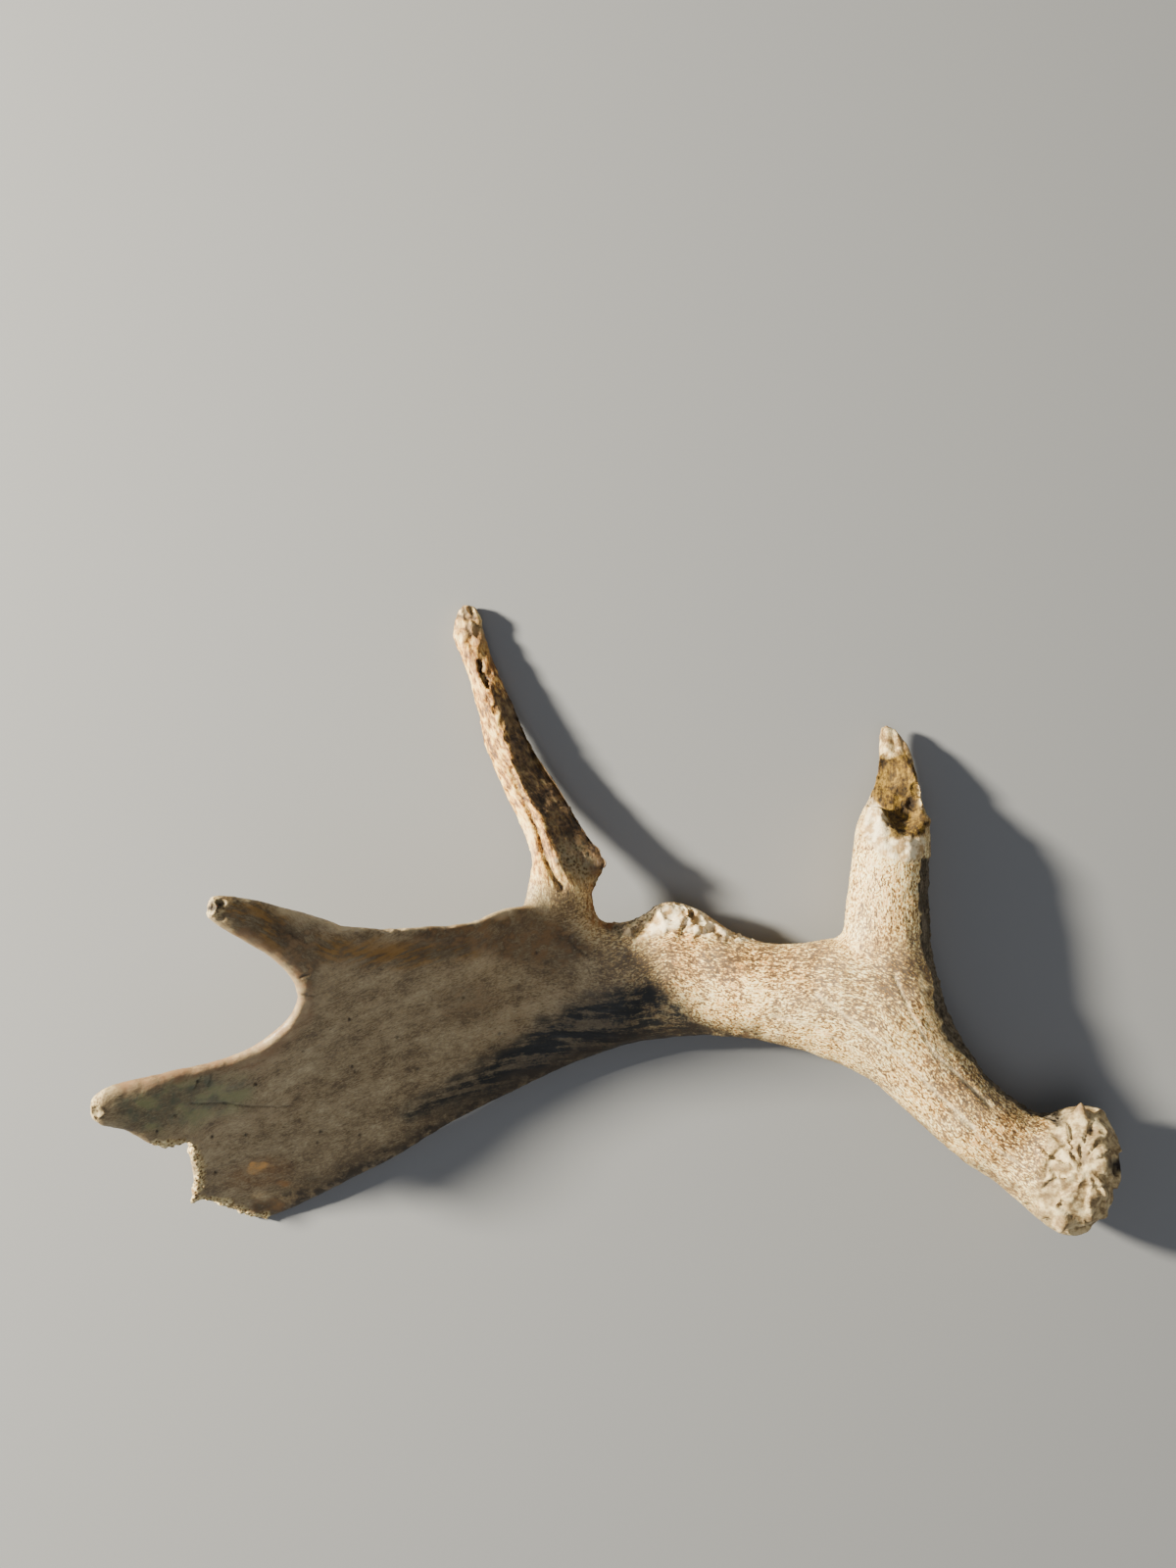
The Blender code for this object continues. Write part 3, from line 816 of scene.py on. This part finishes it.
def weather(surface, fields, m):
    """Fine relief: swelling, grain, pores, tooth marks and crumbled edges."""
    p, q = surface.p, surface.q
    smooth_palm = m["palm"] * (1 - m["porous"])
    relief = (0.50 * rough(p / 26.0, 3) + 0.22 * rough(p / 8.0, 5)) * (1 - 0.5 * smooth_palm)
    relief += grained(fields, (24, 3.4), 11) * (0.20 - 0.12 * smooth_palm)
    relief += grained(fields, (7, 1.5), 13) * (0.15 - 0.09 * smooth_palm)
    relief += rough(p / 2.0, 15, 2) * (0.10 - 0.05 * smooth_palm)
    relief *= 1 - 0.5 * m["fresh"]

    chipped = facets(p / 7.5, 41, 1.3) + 0.4 * facets(p / 3.6, 43, 0.8)
    relief += chipped * m["fresh"] * (0.10 + 0.85 * m["bevel"]) * (1 - 0.75 * m["moss"])

    near, _, own = cells(p / 2.3, 51)
    pores = -fall(0.15, 0.62, near) * (0.5 + own)
    crumble = rough(p / 3.0, 53) * 0.9 + rough(p / 1.6, 55, 2) * 0.45
    relief += (pores + crumble * 0.6) * m["porous"]
    relief += (rough(p / 1.7, 57, 2) * 0.35 + rough(p / 6.0, 58) * 0.2) * m["moss"]
    spoke = q - np.array(BURR_CENTRE, float)
    turn = np.arctan2(spoke[:, 1], spoke[:, 0])
    rays = np.sin(26 * turn + 2.5 * rough(p / 9, 60))
    relief += 0.13 * rays * m["burr"] * smooth(4, 12, np.hypot(spoke[:, 0], spoke[:, 1])) * surface.up
    relief += 1.3 * rough(p / 4.5, 59) * m["broken"]

    # tooth marks across the right flank of the tall tine, finer ones along the rest of it
    along, across = fields[1][:, 0], fields[1][:, 1]
    flank = m["flank"] * surface.up * (1 - m["patch"])
    beat = np.sin(2 * math.pi * (along + 0.35 * across + 0.012 * across**2 + 1.3 * rough(p / 8, 61)) / 2.8)
    relief += 0.30 * beat * flank * smooth(-0.6, 0.4, rough(p / 11, 62))
    rows = np.sin(2 * math.pi * (across + 1.6 * rough(p / 7, 63)) / 3.6)
    relief += 0.12 * rows * m["tine"] * (1 - flank)
    relief += facets(p / 5.0, 65, 0.5) * 0.5 * m["tine"]
    relief += (grained(fields, (7, 1.8), 71) * 0.9 - 0.8) * m["strip"]
    surface.push(relief)
    surface.p[:, 2] = np.maximum(surface.p[:, 2], -LAYOUT_ORIGIN[2])
    surface.store()


# ---- pieces

def set_attribute(mesh, name, values, kind="FLOAT"):
    attribute = mesh.attributes.new(name, kind, "POINT")
    key = "value" if kind == "FLOAT" else "vector"
    attribute.data.foreach_set(key, np.ascontiguousarray(values, np.float32).ravel())


def fork_frame(name):
    point, outward, width, length = FORKS[name]
    start = Vector((np.array(point) + LAYOUT_ORIGIN) * MM)
    outward = Vector(outward).normalized()
    turn = outward.to_track_quat("Z", "Y").to_matrix()
    return start, outward, turn, width * MM, length * MM


def split(skin):
    """The skin cut at the forks into one closed piece for each CAD node."""
    bm = bmesh.new()
    bm.from_mesh(skin.data)
    bm.faces.ensure_lookup_table()
    for name in FORKS:
        start, outward, turn, width, length = fork_frame(name)
        back = turn.transposed()
        faces = []
        for face in bm.faces:
            local = back @ (face.calc_center_median() - start)
            if abs(local.z) < CUT_BAND and abs(local.x) < width and abs(local.y) < width:
                faces.append(face)
        edges = {e for f in faces for e in f.edges}
        verts = {v for f in faces for v in f.verts}
        bmesh.ops.bisect_plane(bm, geom=list(verts) + list(edges) + faces, dist=1e-7,
                               plane_co=start, plane_no=outward)
    whole = bpy.data.meshes.new("whole")
    bm.to_mesh(whole)
    bm.free()

    centres = np.empty(len(whole.polygons) * 3)
    whole.polygons.foreach_get("center", centres)
    centres = centres.reshape(-1, 3)
    owner = np.full(len(centres), NODES.index("beam"))
    free = np.ones(len(centres), bool)
    for name in FORKS:
        start, _, turn, width, length = fork_frame(name)
        local = (centres - np.array(start)) @ np.array(turn)
        mine = free & (local[:, 2] > 0) & (local[:, 2] < length) & (np.abs(local[:, :2]) < width).all(axis=1)
        owner[mine] = NODES.index(name)
        free &= ~mine
    pieces = {}
    for index, name in enumerate(NODES):
        bm = bmesh.new()
        bm.from_mesh(whole)
        bm.faces.ensure_lookup_table()
        bmesh.ops.delete(bm, geom=[f for f, o in zip(bm.faces, owner) if o != index], context="FACES")
        rim = [e for e in bm.edges if e.is_boundary]
        bmesh.ops.holes_fill(bm, edges=rim, sides=0)
        mesh = bpy.data.meshes.new(name + "_bone")
        bm.to_mesh(mesh)
        bm.free()
        normals = np.empty(len(mesh.vertices) * 3, np.float32)
        mesh.attributes["whole_normal"].data.foreach_get("vector", normals)
        mesh.shade_smooth()
        mesh.normals_split_custom_set_from_vertices(normals.reshape(-1, 3))
        mesh.attributes.remove(mesh.attributes["whole_normal"])
        pieces[name] = link(name + "_bone", mesh)
    bpy.data.meshes.remove(whole)
    return pieces


# ---- bone material

def srgb(r, g, b):
    linear = [((c / 255 + 0.055) / 1.055) ** 2.4 if c > 10 else c / 255 / 12.92 for c in (r, g, b)]
    return (*linear, 1.0)


class Nodes:
    """Short ways to add shader nodes to one material."""

    def __init__(self, material):
        self.tree = material.node_tree
        self.bsdf = self.tree.nodes["Principled BSDF"]

    def fill(self, node, inputs):
        """Wire sockets, and set plain values, on a node's inputs."""
        for key, value in inputs.items():
            if isinstance(value, bpy.types.NodeSocket):
                self.tree.links.new(value, node.inputs[key])
            else:
                node.inputs[key].default_value = value
        return node

    def add(self, kind, inputs=(), **settings):
        node = self.tree.nodes.new(kind)
        for key, value in settings.items():
            setattr(node, key, value)
        return self.fill(node, dict(inputs))

    def attribute(self, name, output="Fac"):
        return self.add("ShaderNodeAttribute", attribute_name=name).outputs[output]

    def scaled(self, vector, scale):
        return self.add("ShaderNodeVectorMath", {0: vector, 1: scale}, operation="MULTIPLY").outputs["Vector"]

    def noise(self, vector, scale=1.0, detail=2.0, roughness=0.5):
        inputs = {"Vector": vector, "Scale": scale, "Detail": detail, "Roughness": roughness}
        return self.add("ShaderNodeTexNoise", inputs).outputs["Fac"]

    def voronoi(self, vector, scale):
        return self.add("ShaderNodeTexVoronoi", {"Vector": vector, "Scale": scale}).outputs["Distance"]

    def math(self, operation, *values, clamp=False):
        node = self.add("ShaderNodeMath", enumerate(values), operation=operation, use_clamp=clamp)
        return node.outputs[0]

    def span(self, value, low, high, start=0.0, end=1.0):
        inputs = {"Value": value, "From Min": low, "From Max": high, "To Min": start, "To Max": end}
        return self.add("ShaderNodeMapRange", inputs, interpolation_type="SMOOTHSTEP").outputs["Result"]

    def ramp(self, value, stops):
        node = self.add("ShaderNodeValToRGB", {"Fac": value})
        points = node.color_ramp.elements
        while len(points) < len(stops):
            points.new(0.5)
        for point, (position, colour) in zip(points, stops):
            point.position = position
            point.color = srgb(*colour)
        return node.outputs["Color"]

    def blend(self, share, a, b):
        return self.add("ShaderNodeMix", {0: share, 6: a, 7: b}, data_type="RGBA").outputs[2]

    def between(self, share, a, b):
        return self.add("ShaderNodeMix", {0: share, 2: a, 3: b}, data_type="FLOAT").outputs[0]


MASKS = ("fresh bevel burr hem dusk porous moss dark olive umber green amber rust slab crack pale palm strip "
         "edge tine flank").split()
BEAM_TONES = [
    (0.36, (84, 62, 38)), (0.43, (134, 100, 58)), (0.475, (178, 138, 80)), (0.51, (220, 180, 106)),
    (0.55, (249, 218, 146)), (0.62, (255, 242, 190)),
]
# Palm browns, kept darker than the beam partly as painted shade.
PALM_SHADED_TONES = [
    (0.28, (80, 66, 50)), (0.40, (114, 97, 72)), (0.50, (140, 122, 92)), (0.60, (158, 141, 110)),
    (0.74, (182, 165, 132)),
]
TINE_TONES = [
    (0.34, (84, 52, 20)), (0.43, (148, 96, 38)), (0.51, (202, 146, 66)), (0.59, (240, 192, 100)),
    (0.72, (255, 226, 146)),
]
RAW_TONES = [
    (0.34, (108, 78, 44)), (0.45, (168, 134, 82)), (0.54, (220, 188, 126)), (0.66, (250, 230, 178)),
]
MOSS_TONES = [(0.34, (34, 23, 7)), (0.46, (74, 52, 14)), (0.56, (108, 82, 22)), (0.68, (146, 114, 42))]
# Spongy bone: painted shade at each pore's middle, pale bone between.
SPONGE_PORE_SHADE_TONES = [
    (0.12, (70, 52, 30)), (0.30, (146, 116, 70)), (0.50, (214, 192, 136)), (0.75, (240, 222, 172)),
]


def bone_material(name):
    """Old antler: speckled cream and tan bone with stains and broken patches; shade, a rim highlight and a
    glow are painted in places.
    """
    material = bpy.data.materials.new(name)
    material.use_nodes = True
    n = Nodes(material)
    main, branch = n.attribute("grain", "Vector"), n.attribute("branch_grain", "Vector")
    share = n.attribute("branch")
    place = n.add("ShaderNodeTexCoord").outputs["Object"]
    mask = {key: n.attribute(key) for key in MASKS}

    def grain(along, across, detail=2.0, roughness=0.5):
        size = (1 / along, 1 / across, 1 / across)
        a = n.noise(n.scaled(main, size), 1.0, detail, roughness)
        b = n.noise(n.scaled(branch, size), 1.0, detail, roughness)
        return n.between(share, a, b)

    def lean(value, amount):
        return n.math("MULTIPLY_ADD", value, amount, -0.5 * amount)

    def plus(value, *terms):
        for other, amount in terms:
            value = n.math("ADD", value, lean(other, amount))
        return value

    def times(a, b):
        return n.math("MULTIPLY", a, b)

    def duo(value, low, high, dark, light):
        return n.blend(n.span(value, low, high), srgb(*dark), srgb(*light))

    def coat(colour, key, amount, tint):
        """Tint laid evenly over a mask."""
        return n.blend(n.math("MULTIPLY", mask[key], amount, clamp=True), colour, tint)

    def stain(colour, key, value, low, high, start, end, tint):
        """Tint laid over a mask and broken up by a noise."""
        return n.blend(times(mask[key], n.span(value, low, high, start, end)), colour, tint)

    speck = grain(1.7, 0.8, 2.0, 0.6)
    dash = grain(5.0, 1.8, 2.0, 0.6)
    streak = grain(60.0, 12.0, 3.0, 0.5)
    fibre = grain(16.0, 1.1, 2.0, 0.6)
    cloud = n.noise(place, 24.0, 3.0, 0.55)
    patch = n.noise(place, 70.0, 3.0, 0.55)
    mottle = n.noise(place, 180.0, 3.0, 0.62)
    fine = n.noise(place, 700.0, 2.0, 0.6)

    # round beam: dark speckle on cream, with warm and ashen clouds
    tone = plus(n.math("MULTIPLY_ADD", speck, 0.90, 0.05), (patch, 0.22), (cloud, 0.25), (dash, 0.42),
                (fine, 0.14))
    tone = n.math("MULTIPLY_ADD", mask["dusk"], -0.08, tone)
    beam = n.ramp(tone, BEAM_TONES)
    warm = times(n.span(dash, 0.50, 0.66), n.span(cloud, 0.42, 0.60))
    beam = n.blend(times(warm, 0.60), beam, srgb(212, 150, 76))
    ashen = times(n.span(cloud, 0.56, 0.40), n.span(speck, 0.60, 0.44))
    beam = n.blend(times(ashen, 0.45), beam, srgb(150, 134, 112))

    # palm: brown and smooth, darker than the beam partly as painted shade and partly as darker stain, with a
    # faint blush and dark dots
    soft = plus(n.math("MULTIPLY_ADD", streak, 0.34, 0.33), (patch, 0.42), (mottle, 0.34), (speck, 0.30),
                (dash, 0.20))
    palm = n.ramp(soft, PALM_SHADED_TONES)
    blush = times(n.span(cloud, 0.48, 0.66), n.span(mottle, 0.40, 0.62))
    palm = n.blend(times(blush, 0.22), palm, srgb(128, 98, 76))
    dots = n.span(grain(2.4, 1.2, 1.0, 0.5), 0.70, 0.78)
    palm = n.blend(times(dots, 0.8), palm, srgb(58, 44, 36))
    colour = coat(beam, "palm", 0.92, palm)

    # gnawed tall tine, with painted shade on its right flank
    worn = plus(dash, (patch, 0.7), (mottle, 0.45))
    colour = coat(colour, "tine", 0.85, n.ramp(worn, TINE_TONES))
    shade = plus(mottle, (speck, 0.4))
    # painted shade: dark browns laid over the tall tine's right flank
    colour = coat(colour, "flank", 0.88, duo(shade, 0.40, 0.66, (46, 37, 28), (108, 88, 64)))

    # stains; the lower-edge darkening is partly painted shade, the orange spot partly a painted glow
    bands = plus(grain(70.0, 5.0, 4.0, 0.6), (mottle, 0.35), (speck, 0.2))
    colour = coat(colour, "dark", 0.72, srgb(66, 58, 46))
    colour = stain(colour, "dark", bands, 0.62, 0.46, 0.0, 1.0, srgb(26, 27, 26))
    crust = plus(mottle, (patch, 0.6))
    # painted shade with dark streaks: the palm darkened toward its lower edge
    colour = stain(colour, "edge", crust, 0.36, 0.58, 0.35, 0.95, srgb(46, 36, 26))
    seep = plus(grain(30.0, 4.0, 4.0, 0.65), (mottle, 0.35))
    oily = duo(seep, 0.42, 0.58, (46, 31, 8), (134, 94, 28))
    colour = stain(colour, "olive", seep, 0.34, 0.54, 0.55, 0.95, oily)
    brown = duo(mottle, 0.40, 0.62, (46, 33, 22), (116, 88, 56))
    colour = stain(colour, "umber", crust, 0.38, 0.58, 0.35, 1.0, brown)
    algae = duo(patch, 0.42, 0.58, (80, 88, 70), (126, 128, 86))
    colour = stain(colour, "green", crust, 0.36, 0.62, 0.35, 0.85, algae)
    # orange stain on the palm's lower corner, brightened toward its middle as a painted glow
    glow_stain = duo(mask["amber"], 0.35, 0.95, (150, 104, 58), (214, 160, 92))
    colour = stain(colour, "amber", crust, 0.36, 0.60, 0.95, 0.45, glow_stain)
    colour = stain(colour, "hem", crust, 0.38, 0.60, 0.40, 0.85, srgb(132, 100, 70))

    # raw and broken bone
    raw = n.ramp(plus(mottle, (patch, 0.4), (fibre, 0.3)), RAW_TONES)
    colour = coat(colour, "fresh", 0.75, raw)
    # burr face greyed, partly as painted shade of a face turned from the light
    colour = coat(colour, "burr", 0.65, duo(mottle, 0.40, 0.62, (128, 110, 80), (204, 184, 142)))
    colour = coat(colour, "bevel", 0.75, duo(mottle, 0.38, 0.60, (190, 156, 104), (254, 238, 200)))
    # painted shade in the pores: dark at each pore's middle, pale bone between
    pores = n.voronoi(place, 560.0)
    sponge = n.ramp(pores, SPONGE_PORE_SHADE_TONES)
    sponge = n.blend(times(n.span(mottle, 0.48, 0.62), 0.5), sponge, srgb(128, 90, 50))
    colour = coat(colour, "porous", 0.85, sponge)
    colour = coat(colour, "slab", 0.85, duo(shade, 0.40, 0.60, (48, 42, 36), (118, 104, 86)))
    colour = stain(colour, "rust", mottle, 0.36, 0.60, 0.35, 0.9, srgb(118, 76, 36))
    bark = duo(plus(fibre, (mottle, 0.6)), 0.42, 0.60, (28, 26, 24), (98, 88, 74))
    colour = coat(colour, "strip", 0.9, bark)
    # pale wear in the grooves, paler along the palm's upper edge, and a painted highlight on the notch rim
    colour = stain(colour, "pale", crust, 0.36, 0.62, 0.95, 0.50, srgb(244, 222, 176))
    mossy = n.ramp(plus(mottle, (fibre, 0.5), (fine, 0.3)), MOSS_TONES)
    colour = coat(colour, "moss", 0.95, mossy)
    # painted shade: dark brown laid into the cracks, cuts, pits and hollows
    colour = n.blend(mask["crack"], colour, srgb(30, 20, 13))

    gloss = n.between(mask["palm"], 0.60, 0.47)
    for key, value in (("fresh", 0.66), ("porous", 0.86), ("moss", 0.92)):
        gloss = n.between(mask[key], gloss, value)
    gloss = n.math("ADD", gloss, n.span(speck, 0.38, 0.62, -0.05, 0.07))

    height = times(speck, n.between(mask["palm"], 0.9, 0.35))
    for value, amount in ((fibre, n.between(mask["palm"], 0.40, 0.20)),
                          (n.span(pores, 0.1, 0.6), mask["porous"]),
                          (fine, times(mask["moss"], 1.4)), (mottle, times(mask["fresh"], 0.5))):
        height = n.math("ADD", height, times(value, amount))
    bump = n.add("ShaderNodeBump", {"Strength": 0.6, "Distance": 0.0006, "Height": height})
    n.fill(n.bsdf, {"Base Color": colour, "Roughness": gloss, "Normal": bump.outputs["Normal"],
                    "Specular IOR Level": 0.38, "Subsurface Weight": 0.06,
                    "Subsurface Radius": (1.0, 0.6, 0.35), "Subsurface Scale": 0.004})
    return material


# ---- assembly

add_camera()
add_floor()
add_light()
skin = fused_skin()
surface = Surface(skin.data)
carve(surface)
fields = grain_fields(surface)
masks = region_masks(surface)
weather(surface, fields, masks)
main_grain, branch_grain, branch_share = fields
set_attribute(skin.data, "grain", main_grain, "FLOAT_VECTOR")
set_attribute(skin.data, "branch_grain", branch_grain, "FLOAT_VECTOR")
set_attribute(skin.data, "branch", branch_share)
for key in MASKS:
    set_attribute(skin.data, key, masks[key])
set_attribute(skin.data, "whole_normal", surface.normal, "FLOAT_VECTOR")
pieces = split(skin)
bpy.data.objects.remove(skin, do_unlink=True)
for name, piece in pieces.items():
    piece.data.materials.clear()
    piece.data.materials.append(bone_material(name + "_bone"))
    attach(piece, "root")
    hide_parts(name)
